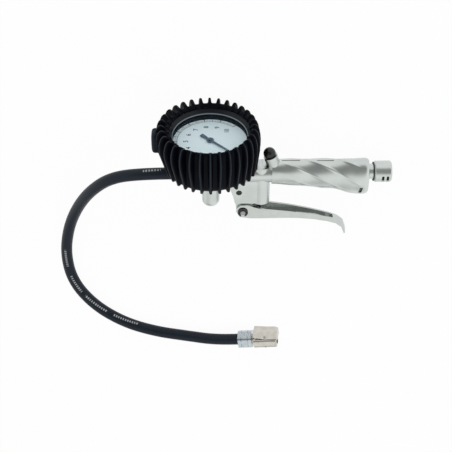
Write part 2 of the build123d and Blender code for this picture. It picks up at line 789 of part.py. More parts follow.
with BuildPart() as chuck_clip:
    with BuildSketch(Plane.XZ):
        with BuildLine():
            Polyline(*clip_outline, close=True)
        make_face()
    extrude(amount=clip_half, both=True)
    with BuildSketch(Plane.XZ):
        with Locations((clip_pin_x - 4, 4.6)):
            Rectangle(17.6, 9.4)
    extrude(amount=rib_half + apart, both=True, mode=Mode.SUBTRACT)
    with BuildSketch(Plane.XZ):
        with Locations((clip_pin_x, clip_pin_z)):
            Circle(clip_pin_radius + running)
    extrude(amount=clip_half, both=True, mode=Mode.SUBTRACT)
chuck_clip.part.label = "chuck_clip"

with BuildPart() as clip_pin:
    with BuildSketch(Plane.XZ):
        with Locations((clip_pin_x, clip_pin_z)):
            Circle(clip_pin_radius)
    extrude(amount=clip_half + 0.4, both=True)
clip_pin.part.label = "clip_pin"

with BuildPart() as clip_spring:
    with BuildLine():
        clip_coil = coil_path(1.8, 1.6, 3.5, (22.0, 0, clip_flat + 0.5))
    with BuildSketch(Plane(origin=clip_coil @ 0, z_dir=clip_coil % 0)):
        RegularPolygon(0.33, 6)
    sweep(path=clip_coil, transition=Transition.RIGHT)
clip_spring.part.label = "clip_spring"

gun_pieces = [
    gun_body, bleed_button, bleed_spring, valve_gland, valve_stem, valve_seal, valve_spring,
    lever, lever_pin, lever_clips, gauge_seal, gauge_case, gauge_stem, bourdon_tube, movement,
    gauge_dial, dial_ring, needle, gauge_window, gauge_bezel, gauge_boot, inlet_nipple,
    inlet_seal, inlet_coupler, hose_nipple, hose_ferrule,
]
chuck_pieces = [chuck_nut, chuck_body, cross_pin, chuck_seal, chuck_clip, clip_pin, clip_spring]

# --- At rest on the table ---------------------------------------------------------------------
# The gun lies on its side on three points: the foot of the boot's seventh fin,
# the rim of the inlet coupling and the tip of the lever. The row frame has Z up
# from the table and X along the grip towards the gauge.
fin_angle = radians(7 * 360 / fin_count + half_edge)
foot_rest = Vector(fin_edge[0][0] * cos(fin_angle), fin_edge[0][0] * sin(fin_angle), fin_edge[0][1])
tip_x, tip_z = lever_under[-1]
(plan_back, plan_back_half), (plan_tip, plan_tip_half) = lever_plan[-2:]
tip_half = plan_back_half + (plan_tip_half - plan_back_half) * (tip_x - plan_back) / (plan_tip - plan_back)
lever_rest = Vector(tip_x, tip_half, tip_z)
down = Vector(0, 1, 0)
for attempt in range(6):
    lean = atan2(down.Z, down.Y)
    coupler_rest = Vector(
        coupler_start + coupler_length - 1.4, coupler_radius * cos(lean), coupler_radius * sin(lean)
    )
    down = (coupler_rest - foot_rest).cross(lever_rest - foot_rest).normalized()
    if down.Y < 0:
        down = -down

up = -down
forward = Vector(-1, 0, 0)
forward = (forward - up * forward.dot(up)).normalized()
tilt = Plane((0, 0, 0), x_dir=forward, z_dir=up).location.inverse()
boxes = [piece.part.moved(tilt).bounding_box() for piece in gun_pieces]
centre_x = (min(b.min.X for b in boxes) + max(b.max.X for b in boxes)) / 2
centre_y = (min(b.min.Y for b in boxes) + max(b.max.Y for b in boxes)) / 2
table = min(b.min.Z for b in boxes)
gun_place = Location((-centre_x, -centre_y, -table)) * tilt


def placed(x, y, z, place):
    """A point of a sub-frame, given in the row frame."""
    return (place * Location((x, y, z))).position


# --- Hose --------------------------------------------------------------------------------------
hose_out = 30.0             # straight run out of the ferrule
hose_exit = placed(hose_start, 0, 0, gun_place)
hose_bend = placed(hose_start - hose_out, 0, 0, gun_place)
lying = hose_radius         # height of the hose's middle where it lies on the table
chuck_point = Vector(37, 214.5, nut_flat)
hose_points = [
    hose_exit,
    hose_bend,
    Vector(160, 5, 49),
    Vector(186, 28, 37),
    Vector(207, 58, 20.5),
    Vector(222, 90, 9.5),
    Vector(229, 125, lying),
    Vector(223.5, 160, lying),
    Vector(201, 189, lying),
    Vector(168, 208.5, lying),
    Vector(132, 217, lying),
    Vector(96, 219, lying),
    Vector(62, 218.5, nut_flat),
    chuck_point,
]
runs = [b - a for a, b in zip(hose_points[:-1], hose_points[1:])]
bends = []
for a, b in zip(runs[:-1], runs[1:]):
    half_turn = radians(a.get_angle(b)) / 2
    bends.append(0.45 * min(a.length, b.length) / tan(half_turn))
print("bend radii", [round(bend) for bend in bends])

with BuildPart() as hose:
    with BuildLine():
        hose_line = FilletPolyline(*hose_points, radius=bends)
    with BuildSketch(Plane(origin=hose_line @ 0, z_dir=hose_line % 0)):
        Circle(hose_radius)
    sweep(path=hose_line)
hose.part.label = "hose"
section = pi * hose_radius ** 2
print("hose length", hose_line.length, "volume", hose.part.volume, "expected", section * hose_line.length)

last_run = runs[-1].normalized()
clip_side = Vector(-last_run.Y, last_run.X, 0)
chuck_place = Plane(chuck_point, x_dir=last_run, z_dir=clip_side).location

for pieces, place in ((gun_pieces, gun_place), (chuck_pieces, chuck_place), ([hose], Location())):
    for piece in pieces:
        moved = piece.part.moved(place)
        moved.label = piece.part.label
        b = moved.bounding_box()
        print(moved.label, moved.is_valid, len(moved.solids()), round(moved.volume), b.min, b.max)
        export_step(moved, "parts/" + moved.label + ".step")

print("axis of the lever", placed(pivot_x, 0, pivot_z, gun_place))
print("axis of the needle", placed(0, 0, dial_height, gun_place))
print("valve", placed(valve_x, 0, gland_seat, gun_place))
print("button", (gun_place * cup_plane.location).position)
print("clip", placed(clip_pin_x, 0, clip_pin_z, chuck_place))
print("gun's X, Y and Z in the row frame")
for direction in ((1, 0, 0), (0, 1, 0), (0, 0, 1)):
    print(placed(*direction, gun_place) - placed(0, 0, 0, gun_place))
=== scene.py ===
# %% [markdown]
# # A tyre inflator with a finned gauge boot
# The CAD model gives every hard piece at its real size, in metres. This file
# loads it as a fixed frame and adds what CAD leaves out: the finishes of the
# pieces, the scale printed on the dial, and the smooth hose.

# %% Load the frame
import json
import math

import bpy
from mathutils import Matrix, Vector


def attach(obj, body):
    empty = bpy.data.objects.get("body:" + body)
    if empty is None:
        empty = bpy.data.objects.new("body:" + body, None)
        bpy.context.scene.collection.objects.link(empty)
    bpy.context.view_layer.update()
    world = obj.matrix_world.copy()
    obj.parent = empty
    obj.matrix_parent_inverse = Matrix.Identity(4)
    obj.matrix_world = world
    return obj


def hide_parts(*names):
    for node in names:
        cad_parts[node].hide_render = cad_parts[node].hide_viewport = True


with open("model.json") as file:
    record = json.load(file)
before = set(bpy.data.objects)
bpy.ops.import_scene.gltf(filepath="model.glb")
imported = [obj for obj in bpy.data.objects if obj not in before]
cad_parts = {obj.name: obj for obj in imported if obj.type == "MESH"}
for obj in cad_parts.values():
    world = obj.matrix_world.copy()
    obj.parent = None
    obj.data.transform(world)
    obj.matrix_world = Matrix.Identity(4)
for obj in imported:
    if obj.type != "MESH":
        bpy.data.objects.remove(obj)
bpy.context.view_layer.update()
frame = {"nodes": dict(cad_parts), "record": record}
nodes = frame["nodes"]

# %% [markdown]
# ## The gun's own directions
# The gun lies on its side, so the axis of its gauge leans. Two joints of the
# record say where that axis is: the needle turns about it, and the lever's
# pivot lies square to it. The finishes of boot, grip and dial follow them.

# %% Axes of the gun
joints = {joint["name"]: joint for joint in frame["record"]["behaviour"]["joints"]}
dial_centre = Vector(joints["needle_turn"]["pos_m"])
dial_out = -Vector(joints["needle_turn"]["axis"]).normalized()
across_gun = -Vector(joints["lever_pivot"]["axis"]).normalized()
grip_back = across_gun.cross(dial_out).normalized()
print("dial at", dial_centre, "faces", dial_out, "grip runs", grip_back)


def on_gun(back, across, out):
    """A point given along the grip, across the gun and out of the dial."""
    return dial_centre + grip_back * back + across_gun * across + dial_out * out


# %% [markdown]
# ## Meshes from rings of points
# Most soft pieces here are a tube or a ball: rings of points with four-sided
# faces between them. Two helpers join the rings and put a mesh in the scene.

# %% Rings and pieces


def ring_faces(rings, sides):
    """Four-sided faces between rings of points that follow one another."""
    faces = []
    for ring in range(rings - 1):
        near, far = ring * sides, (ring + 1) * sides
        for k in range(sides):
            step = (k + 1) % sides
            faces.append((near + k, near + step, far + step, far + k))
    return faces


def add_piece(name, points, faces):
    """An object with its own mesh, linked into the scene."""
    mesh = bpy.data.meshes.new(name)
    mesh.from_pydata(points, [], faces)
    piece = bpy.data.objects.new(name, mesh)
    bpy.context.scene.collection.objects.link(piece)
    print(name, len(faces), "faces")
    return piece


# %% [markdown]
# ## Camera
# A long lens from above the dial's side keeps the fins nearly parallel. The
# camera is turned over, because the gun lies with its lever away from us.

# %% Camera
camera_data = bpy.data.cameras.new("camera")
camera_data.lens = 88.8
camera_data.sensor_width = 36.0
camera = bpy.data.objects.new("camera", camera_data)
bpy.context.scene.collection.objects.link(camera)
camera_place = Vector((-0.11652, -0.49867, 1.00402))
camera_right = Vector((-0.98632, 0.00279, -0.16482)).normalized()
camera_up = Vector((0.07884, -0.8701, -0.48653)).normalized()
camera_back = camera_right.cross(camera_up).normalized()
camera_up = camera_back.cross(camera_right)
turn = Matrix((camera_right, camera_up, camera_back)).transposed().to_4x4()
camera.matrix_world = Matrix.Translation(camera_place) @ turn
bpy.context.scene.camera = camera
print("camera looks along", -camera_back)

# %% [markdown]
# ## Hose line
# The hose is one free rubber hose, 12 mm across. It leaves the ferrule
# straight, sinks to the table and lies there in one wide loop. A NURBS spline
# on a few points gives the smooth line that a springy hose takes.

# %% Line of the hose
HOSE_WIDTH = 0.012
DIAL_HEIGHT = 0.0387  # from the axis of the barrel, where the hose leaves, to the dial
ferrule_end = on_gun(-0.036, 0, -DIAL_HEIGHT)
ferrule_out = on_gun(-0.066, 0, -DIAL_HEIGHT)
route = [
    ferrule_end,
    ferrule_out,
    (0.160, 0.005, 0.049),
    (0.186, 0.028, 0.037),
    (0.207, 0.058, 0.0205),
    (0.222, 0.090, 0.0095),
    (0.229, 0.125, 0.006),
    (0.2235, 0.160, 0.006),
    (0.201, 0.189, 0.006),
    (0.168, 0.2085, 0.006),
    (0.132, 0.217, 0.006),
    (0.096, 0.219, 0.006),
    (0.062, 0.2185, 0.0092),
    (0.037, 0.2145, 0.0092),
]
line_data = bpy.data.curves.new("hose_line", "CURVE")
line_data.dimensions = "3D"
line_data.resolution_u = 16
spline = line_data.splines.new("NURBS")
spline.points.add(len(route) - 1)
for point, place in zip(spline.points, route):
    point.co = (*place, 1.0)
spline.order_u = 3
spline.use_endpoint_u = True
line_object = bpy.data.objects.new("hose_line", line_data)
bpy.context.scene.collection.objects.link(line_object)
bpy.context.view_layer.update()
line_mesh = bpy.data.meshes.new_from_object(line_object)
hose_path = [vertex.co.copy() for vertex in line_mesh.vertices]
bpy.data.objects.remove(line_object)
bpy.data.meshes.remove(line_mesh)
hose_length = sum((b - a).length for a, b in zip(hose_path, hose_path[1:]))
print("hose", round(hose_length, 4), "m in", len(hose_path), "points")

# %% [markdown]
# ## Hose skin
# Rings of points carried along the line make the skin. Its UV map counts real
# metres along the hose and turns round it, so that the printed marks follow
# every bend.

# %% Skin of the hose
HOSE_SIDES = 40
skin_points = []
along = []
travelled = 0.0
side = Vector((0, 0, 1))
for k, place in enumerate(hose_path):
    before = hose_path[max(k - 1, 0)]
    after = hose_path[min(k + 1, len(hose_path) - 1)]
    heading = (after - before).normalized()
    side = (side - heading * side.dot(heading)).normalized()
    other = heading.cross(side)
    travelled += (place - before).length
    along.append(travelled)
    for j in range(HOSE_SIDES):
        angle = 2 * math.pi * j / HOSE_SIDES
        offset = side * math.cos(angle) + other * math.sin(angle)
        skin_points.append(place + offset * (HOSE_WIDTH / 2))
first_ring = tuple(reversed(range(HOSE_SIDES)))
last_ring = tuple(range(len(skin_points) - HOSE_SIDES, len(skin_points)))
skin_faces = ring_faces(len(hose_path), HOSE_SIDES) + [first_ring, last_ring]
hose_skin = add_piece("hose_skin", skin_points, skin_faces)
for polygon in hose_skin.data.polygons:
    polygon.use_smooth = len(polygon.vertices) == 4

# %% UV map of the hose
uv_corners = []
for start, end in zip(along, along[1:]):
    for j in range(HOSE_SIDES):
        low, high = j / HOSE_SIDES, (j + 1) / HOSE_SIDES
        uv_corners += [(start, low), (start, high), (end, high), (end, low)]
uv_corners += [(0.0, 0.0)] * HOSE_SIDES * 2  # the two end faces stay unprinted
uv_layer = hose_skin.data.uv_layers.new(name="UVMap")
for corner, value in zip(uv_layer.data, uv_corners):
    corner.uv = value
print("UV corners", len(uv_corners))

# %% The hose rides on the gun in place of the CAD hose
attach(hose_skin, "gun")
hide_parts("hose")

# %% [markdown]
# ## Boot skin
# The boot is a rubber moulding with 32 finger-like fins, softer in outline
# than anything cut from metal. Each point of its section has two places: one
# in the valley between fins and one on a fin. Going round the gauge, a fin
# weight slides every point between the two, and that draws rounded blades.

# %% Skin of the boot
FIN_COUNT = 32
SLACK = 0.0022  # the soft boot leans along the gun by this much at its crest
LEAN_START, LEAN_SPAN, LEAN_BACK = 20.0, 25.0, -0.4  # heights in millimetres, and a share
# (radius, height) over the barrel's axis in millimetres, valley first, then fin
BOOT_SECTION = [
    ((11.0, 10.4), (11.0, 10.4)), ((36.0, 10.4), (36.0, 10.4)), ((40.0, 10.4), (41.4, 9.6)),
    ((41.6, 10.6), (43.4, 8.8)), ((42.6, 12.4), (44.9, 9.3)), ((43.0, 15.0), (45.9, 14.0)),
    ((43.2, 20.0), (47.1, 20.5)), ((43.2, 26.0), (48.4, 27.0)), ((43.2, 32.0), (49.8, 34.0)),
    ((43.2, 38.0), (50.5, 41.0)), ((43.2, 44.0), (50.3, 47.0)), ((43.2, 48.5), (49.4, 51.8)),
    ((43.0, 51.3), (48.1, 55.2)), ((42.6, 53.0), (46.5, 57.2)), ((41.9, 54.1), (44.8, 58.0)),
    ((41.0, 54.6), (43.2, 57.5)), ((40.2, 54.5), (41.9, 56.0)), ((39.5, 53.8), (40.6, 54.7)),
    ((38.9, 52.6), (39.2, 53.0)), ((38.4, 51.2), (38.4, 51.2)), ((38.4, 50.1), (38.4, 50.1)),
    ((41.7, 50.1), (41.7, 50.1)), ((41.7, 39.9), (41.7, 39.9)), ((40.1, 39.9), (40.1, 39.9)),
    ((40.1, 13.7), (40.1, 13.7)), ((11.0, 13.7), (11.0, 13.7)),
]
# half a fin, from its middle to the middle of the valley: (share of the way, weight)
FIN_SHAPE = [
    (0.0, 1.0), (0.14, 0.995), (0.22, 0.96), (0.28, 0.86), (0.34, 0.56), (0.41, 0.20),
    (0.50, 0.04), (0.70, 0.0),
]
one_fin = [(-share, weight) for share, weight in reversed(FIN_SHAPE[1:])] + FIN_SHAPE + [(1.0, 0.0)]
print("boot section", len(BOOT_SECTION), "points, fin", len(one_fin), "columns")

# %% Columns of the boot
boot_points = []
for fin in range(FIN_COUNT):
    for share, weight in one_fin:
        angle = (fin + share / 2) * 2 * math.pi / FIN_COUNT
        for (valley_r, valley_z), (fin_r, fin_z) in BOOT_SECTION:
            rise = min(max((fin_z - LEAN_START) / LEAN_SPAN, LEAN_BACK), 1.0)
            lean = rise * SLACK * math.cos(angle) * weight * (fin_r != valley_r)
            radius = (valley_r + (fin_r - valley_r) * weight) / 1000 - lean
            height = (valley_z + (fin_z - valley_z) * weight) / 1000 - DIAL_HEIGHT
            boot_points.append(on_gun(radius * math.cos(angle), radius * math.sin(angle), height))
rows = len(BOOT_SECTION)
columns = FIN_COUNT * len(one_fin)
boot_faces = []
for k in range(columns):
    here, there = k * rows, (k + 1) % columns * rows
    for j in range(rows):
        above = (j + 1) % rows
        boot_faces.append((here + j, there + j, there + above, here + above))
boot_skin = add_piece("boot_skin", boot_points, boot_faces)
boot_skin.data.shade_smooth()
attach(boot_skin, "gun")
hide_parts("gauge_boot")

# %% [markdown]
# ## Ear of the boot
# A rounded lug stands on the boot's front, over the hose. A ball whose sines
# and cosines are pushed outwards becomes a block with soft corners, which is
# quicker than bevelling a box and has no edges to clean up.

# %% Ear of the boot
EAR_MIDDLE = (-0.0502, 0.0, 0.0402 - DIAL_HEIGHT)
EAR_HALF = (0.0060, 0.0078, 0.0112)
EAR_SQUARENESS = 0.42
EAR_RINGS, EAR_SIDES = 12, 28


def squared(value):
    """A sine or cosine pushed outwards, which squares a ball's sides."""
    return math.copysign(abs(value) ** EAR_SQUARENESS, value)


ear_points = []
for k in range(EAR_RINGS + 1):
    tilt = math.pi * (k / EAR_RINGS - 0.5)
    for j in range(EAR_SIDES):
        angle = 2 * math.pi * j / EAR_SIDES
        shape = (
            squared(math.cos(tilt)) * squared(math.cos(angle)),
            squared(math.cos(tilt)) * squared(math.sin(angle)),
            squared(math.sin(tilt)),
        )
        place = [middle + half * v for middle, half, v in zip(EAR_MIDDLE, EAR_HALF, shape)]
        ear_points.append(on_gun(*place))
boot_ear = add_piece("boot_ear", ear_points, ring_faces(EAR_RINGS + 1, EAR_SIDES))
boot_ear.data.shade_smooth()
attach(boot_ear, "gun")

# %% [markdown]
# ## Screw in the side
# A small socket screw closes a passage beside the valve. It is a short disc
# with a six-sided hole, made as rings of points: the rim, the edge of the
# hole and the hole's floor.

# %% Socket screw
HEAD_SIDE = -0.0078  # the flat side of the casting under the gauge
SCREW_BACK, SCREW_RISE = 0.0280, -0.0193
SCREW_RADIUS, SOCKET_RADIUS = 0.0030, 0.0017
SCREW_CHAMFER, SCREW_PROUD, SOCKET_FLOOR = 0.0003, 0.0004, 0.0001
SCREW_STEPS = 24


def socket_reach(angle):
    """Distance from the middle of a hexagon to its side at an angle."""
    return SOCKET_RADIUS * math.cos(math.pi / 6) / math.cos(angle % (math.pi / 3) - math.pi / 6)


screw_rings = [
    (0.0, lambda angle: SCREW_RADIUS),
    (SCREW_PROUD, lambda angle: SCREW_RADIUS - SCREW_CHAMFER),
    (SCREW_PROUD, socket_reach),
    (SOCKET_FLOOR, socket_reach),
]
screw_points = []
for rise, reach_at in screw_rings:
    for k in range(SCREW_STEPS):
        angle = 2 * math.pi * k / SCREW_STEPS
        reach = reach_at(angle)
        screw_points.append(
            on_gun(
                SCREW_BACK + reach * math.cos(angle),
                HEAD_SIDE - rise,
                SCREW_RISE + reach * math.sin(angle) - DIAL_HEIGHT,
            )
        )
socket_floor = tuple(range(len(screw_points) - SCREW_STEPS, len(screw_points)))
screw_faces = ring_faces(len(screw_rings), SCREW_STEPS) + [socket_floor]
socket_screw = add_piece("socket_screw", screw_points, screw_faces)
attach(socket_screw, "gun")

# %% [markdown]
# ## Writing finishes as sums
# A finish is arithmetic on maps: a noise here, a mask there. Writing it as
# Python expressions reads better than wiring nodes by hand, so a small class
# wraps a socket, and each operator adds the Math node that it stands for.

# %% A socket with operators


class Map:
    """A socket whose operators add Math nodes."""

    def __init__(self, finish, socket):
        self.finish = finish
        self.socket = socket

    def math(self, operation, *others):
        """One Math node, with this socket first."""
        values = dict(enumerate((self, *others)))
        return self.finish.node("ShaderNodeMath", {"operation": operation}, values)

    def __add__(self, other):
        return self.math("ADD", other)

    __radd__ = __add__

    def __mul__(self, other):
        return self.math("MULTIPLY", other)

    __rmul__ = __mul__

    def __sub__(self, other):
        return self.math("SUBTRACT", other)

    def __rsub__(self, other):
        return self.finish.node("ShaderNodeMath", {"operation": "SUBTRACT"}, {0: other, 1: self})

    def clamp(self):
        """Kept between 0 and 1."""
        return self.finish.node("ShaderNodeClamp", {}, {"Value": self})

    def ramp(self, low, high):
        """0 below low, 1 above high, smooth between."""
        return self.finish.node(
            "ShaderNodeMapRange",
            {"interpolation_type": "SMOOTHSTEP"},
            {"Value": self, "From Min": low, "From Max": high},
        )

    def between(self, low, high, edge):
        """1 from low to high and 0 outside, with soft edges."""
        return self.ramp(low, low + edge) * (1 - self.ramp(high, high + edge))


# %% A tree that makes nodes


class Tree:
    """A node tree with one method for any node."""

    def __init__(self, tree):
        self.tree = tree

    def node(self, kind, settings, values, output=0):
        """A new node: its settings first, then values or links on its sockets."""
        made = self.tree.nodes.new(kind)
        for key, value in settings.items():
            setattr(made, key, value)
        for key, value in values.items():
            if isinstance(value, Map):
                self.tree.links.new(value.socket, made.inputs[key])
            else:
                made.inputs[key].default_value = value
        return Map(self, made.outputs[output]) if made.outputs else None

    def shows_background(self):
        """1 for a ray from the camera, a mirror or a glass, 0 for plain light."""
        seen = self.node("ShaderNodeLightPath", {}, {}, "Is Camera Ray")
        for name in ("Is Glossy Ray", "Is Transmission Ray"):
            seen = seen.math("MAXIMUM", self.node("ShaderNodeLightPath", {}, {}, name))
        return seen


# %% A finish


class Finish(Tree):
    """A material with one principled surface."""

    def __init__(self, name, **constants):
        self.material = bpy.data.materials.new(name)
        self.material.use_nodes = True
        super().__init__(self.material.node_tree)
        self.surface = self.tree.nodes["Principled BSDF"]
        for socket, value in constants.items():
            self.surface.inputs[socket.replace("_", " ")].default_value = value

    def set(self, socket, value):
        """Feeds a socket of the surface from a map."""
        self.tree.links.new(value.socket, self.surface.inputs[socket])

    def place(self):
        """Where a point lies on the piece, in metres."""
        return self.node("ShaderNodeTexCoord", {}, {}, "Object")

    def noise(self, scale, detail=3.0, vector=None):
        """A cloudy map from 0 to 1, finer as its scale grows."""
        values = {"Vector": vector or self.place(), "Scale": scale, "Detail": detail}
        return self.node("ShaderNodeTexNoise", {}, values)

    def mix(self, factor, first, second):
        """A colour between two colours."""
        settings = {"data_type": "RGBA"}
        return self.node("ShaderNodeMix", settings, {0: factor, 6: first, 7: second}, 2)

    def along(self, direction):
        """Distance in metres from the middle of the dial along a direction."""
        values = {0: self.place(), 1: tuple(dial_centre)}
        away = self.node("ShaderNodeVectorMath", {"operation": "SUBTRACT"}, values)
        values = {0: away, 1: tuple(direction)}
        return self.node("ShaderNodeVectorMath", {"operation": "DOT_PRODUCT"}, values, "Value")

    def bump(self, height, distance, strength):
        """Tilts the surface as if a map were its height."""
        values = {"Height": height, "Distance": distance, "Strength": strength}
        self.set("Normal", self.node("ShaderNodeBump", {}, values, "Normal"))


def grey(value):
    """An opaque grey."""
    return (value, value, value, 1)


def give(finish, *names):
    """Puts a finish on CAD nodes."""
    for name in names:
        mesh = nodes[name].data
        mesh.materials.clear()
        mesh.materials.append(finish.material)
    print(finish.material.name, "on", ", ".join(names))


# %% [markdown]
# ## Nickel on the castings
# The grip and its columns are cast, tumbled and nickel plated: bright, but
# not a mirror, with a faint cloudiness where the casting's skin was uneven.
# A metal surface with a slow noise in its roughness does that. Masks over the
# gun's own directions add what the cast shape leaves out: two engraved dashes,
# whose dark colour is painted shade of a groove, painted shade inside the
# inlet's slots and bore, and crisp edges on the grip's twisted ridges.

# %% Skin of the castings
satin = Finish("satin_nickel", Metallic=1.0)
cloud = satin.noise(60.0)
fine = satin.noise(900.0, 2.0)
nickel = satin.mix(cloud.ramp(0.3, 0.75), (0.59, 0.63, 0.61, 1), (0.66, 0.70, 0.68, 1))
back = satin.along(grip_back)
across = satin.along(across_gun)
above = satin.along(dial_out) + DIAL_HEIGHT
print("nickel maps", len(satin.tree.nodes), "nodes")

# %% Two engraved dashes along the top of the grip, in painted groove shade
DASHES = [(0.0690, 0.0868), (0.1035, 0.1199)]
DASH_EDGE = 0.0012
in_stroke = 1 - across.math("ABSOLUTE").ramp(0.0004, 0.0009)
on_top = above.ramp(0.012, 0.013)
in_dash = sum(back.between(start, end, DASH_EDGE) for start, end in DASHES)
# painted shade: the dashes have no groove in the mesh, so their dark colour stands in for the shade
# inside an engraved groove
engraved = in_dash * (in_stroke * on_top)
print("dashes", DASHES)

# %% Painted shade in the slots and bore of the inlet
INLET_START, SLOT_END, INLET_EDGE = 0.1608, 0.1755, 0.0004
from_bore = (across * across + above * above).math("SQRT")
past_start = back.ramp(INLET_START, INLET_START + INLET_EDGE)
in_slot = (1 - from_bore.ramp(0.0093, 0.0101)) * back.between(INLET_START, SLOT_END, INLET_EDGE)
in_bore = (1 - from_bore.ramp(0.0068, 0.0071)) * past_start
# painted shade: the inlet's slots and bore are coloured dark where shade falls in them
inlet_painted_shade = (in_slot + in_bore).clamp()
print("dark inside from", INLET_START)

# %% Ridges of the grip
# the ridges wind round the middle of an oval, which is taller than wide and
# sinks towards the inlet
GRIP_RIDGES = 6
RIDGE_TWIST = 1800.0  # degrees for each metre
RIDGE_PHASE, RIDGE_DATUM = 24.0, 0.090  # the angle of one ridge, and where it has it
OVAL_SINKS, OVAL_RATIO = 0.1, 0.73
RIDGE_HALF, RIDGE_WEIGHT = 0.15, 18
past_datum = back - RIDGE_DATUM
oval_height = (above + past_datum * OVAL_SINKS) * OVAL_RATIO
ridge_angle = oval_height.math("ARCTAN2", across) * (180 / math.pi)
ridge_turn = (ridge_angle - past_datum * RIDGE_TWIST - RIDGE_PHASE) * (GRIP_RIDGES / 360)
from_ridge = ((ridge_turn + 0.5).math("FRACT") - 0.5).math("ABSOLUTE")
on_grip = back.ramp(0.078, 0.092) * (1 - back.ramp(0.138, 0.150))
ridge = (1 - from_ridge.ramp(0.0, RIDGE_HALF)) * on_grip
print("ridges", GRIP_RIDGES, "turning", RIDGE_TWIST, "degrees a metre")

# %% Satin nickel
dash_groove_shade, painted_shade_colour = (0.16, 0.16, 0.145, 1), (0.045, 0.043, 0.038, 1)
# the dashes' dark colour is painted shade
marked = satin.mix(engraved.clamp(), nickel, dash_groove_shade)
# the inlet's dark colour here is painted shade
satin.set("Base Color", satin.mix(inlet_painted_shade, marked, painted_shade_colour))
satin.set("Roughness", 0.27 + cloud * 0.06 + fine * 0.03 + inlet_painted_shade * 0.3)
satin.bump(fine * 0.3 + cloud + ridge * RIDGE_WEIGHT, 0.00006, 0.25)
give(satin, "gun_body", "inlet_coupler", "inlet_nipple", "hose_nipple", "hose_ferrule")

# %% [markdown]
# ## Plate on the small steel
# The lever is a steel pressing under bright nickel, with fine scratches along
# it where fingers slide. The chuck's nickel is warmer and rubbed, its nut is
# zinc plated, and the pins and springs are left as plain steel. Each is a
# metal with two close tones and a noise that wanders between them.

# %% Bright nickel on the lever
bright = Finish("bright_nickel", Metallic=1.0)
values = {"Vector": bright.place(), "Scale": (0.08, 1.0, 1.0)}
streak_place = bright.node("ShaderNodeMapping", {"vector_type": "POINT"}, values)
streaks = bright.noise(2600.0, 2.0, streak_place)
haze = bright.noise(120.0)
plate = bright.mix(haze.ramp(0.3, 0.75), (0.55, 0.58, 0.565, 1), (0.60, 0.63, 0.61, 1))
bright.set("Base Color", plate)
bright.set("Roughness", 0.13 + haze * 0.06 + streaks * 0.05)
bright.bump(streaks, 0.00002, 0.25)
give(bright, "lever")

# %% Worn nickel on the chuck
worn_plate = Finish("worn_nickel", Metallic=1.0)
rubbed = worn_plate.noise(150.0)
plate = worn_plate.mix(rubbed.ramp(0.3, 0.75), (0.55, 0.52, 0.47, 1), (0.66, 0.64, 0.59, 1))
worn_plate.set("Base Color", plate)
worn_plate.set("Roughness", 0.22 + rubbed * 0.08)
worn_plate.bump(rubbed, 0.00003, 0.2)
give(worn_plate, "chuck_body", "chuck_clip")

# %% Zinc plate on the nut
zinc = Finish("zinc_plate", Metallic=1.0)
zinc_tone = zinc.noise(170.0)
plate = zinc.mix(zinc_tone.ramp(0.3, 0.7), (0.50, 0.56, 0.60, 1), (0.60, 0.65, 0.68, 1))
zinc.set("Base Color", plate)
zinc.set("Roughness", 0.2 + zinc_tone * 0.12)
give(zinc, "chuck_nut")

# %% Plain steel of pins and springs
steel = Finish("pin_steel", Metallic=1.0)
turned = steel.noise(700.0, 2.0)
steel.set("Base Color", steel.mix(turned, (0.28, 0.28, 0.29, 1), (0.46, 0.46, 0.46, 1)))
steel.set("Roughness", 0.28 + turned * 0.2)
give(steel, "lever_pin", "cross_pin", "clip_pin", "valve_stem")
give(steel, "clip_spring", "valve_spring", "bleed_spring")

# %% Brass inside
brass = Finish("turned_brass", Metallic=1.0)
brass_tone = brass.noise(400.0)
brass.set("Base Color", brass.mix(brass_tone, (0.48, 0.34, 0.14, 1), (0.66, 0.49, 0.22, 1)))
brass.set("Roughness", 0.22 + brass_tone * 0.2)
give(brass, "valve_gland", "gauge_stem", "bourdon_tube", "movement")

# %% [markdown]
# ## Rubber boot
# The boot is moulded in black rubber with 32 fins. A painted highlight draws
# a lighter line along the crest of each outer fin, so the finish finds the
# crests: the angle round the gauge, folded to one fin, is smallest along them.
# The ear's front face gets a painted highlight too.

# %% Boot rubber
rubber = Finish("boot_rubber", Specular_IOR_Level=0.09)
lengthwise = rubber.along(grip_back)
sideways = rubber.along(across_gun)
reach = (lengthwise * lengthwise + sideways * sideways).math("SQRT")
fins_round = sideways.math("ARCTAN2", lengthwise) * (FIN_COUNT / (2 * math.pi))
from_crest = ((fins_round + 0.5).math("FRACT") - 0.5).math("ABSOLUTE")
on_fin = 1 - from_crest.ramp(0.01, 0.09)
outside = reach.ramp(0.0415, 0.0455)
mottle = rubber.noise(160.0, 4.0)
ear_face = 1 - lengthwise.ramp(-0.0550, -0.0505)
# painted highlight: a lighter line along the crest of each outer fin, broken by a noise, and a
# lighter front face on the ear
painted_highlight_share = on_fin * outside * (mottle * 0.7 + 0.45) + ear_face * 0.6
pores = rubber.noise(2600.0, 2.0)
deep_black, highlight_black = (0.0013, 0.0018, 0.0044, 1), (0.024, 0.034, 0.048, 1)
rubber.set("Base Color", rubber.mix(painted_highlight_share.clamp(), deep_black, highlight_black))
rubber.set("Roughness", 0.40 + mottle * 0.14 + pores * 0.08)
rubber.bump(pores + mottle * 2, 0.00006, 0.4)
for piece in (boot_skin, boot_ear):
    piece.data.materials.append(rubber.material)
    print(rubber.material.name, "on", piece.name)

# %% [markdown]
# ## Other black pieces
# The seals are dull rubber. The bleed button is glossy plastic, and the clips
# on the lever's pin and the small screw are blackened steel with the same
# shine. The gauge's case is enamelled, with a painted highlight as a bright
# line along its lip. Between dial and glass sits a liner whose near-black
# colour is painted shade.

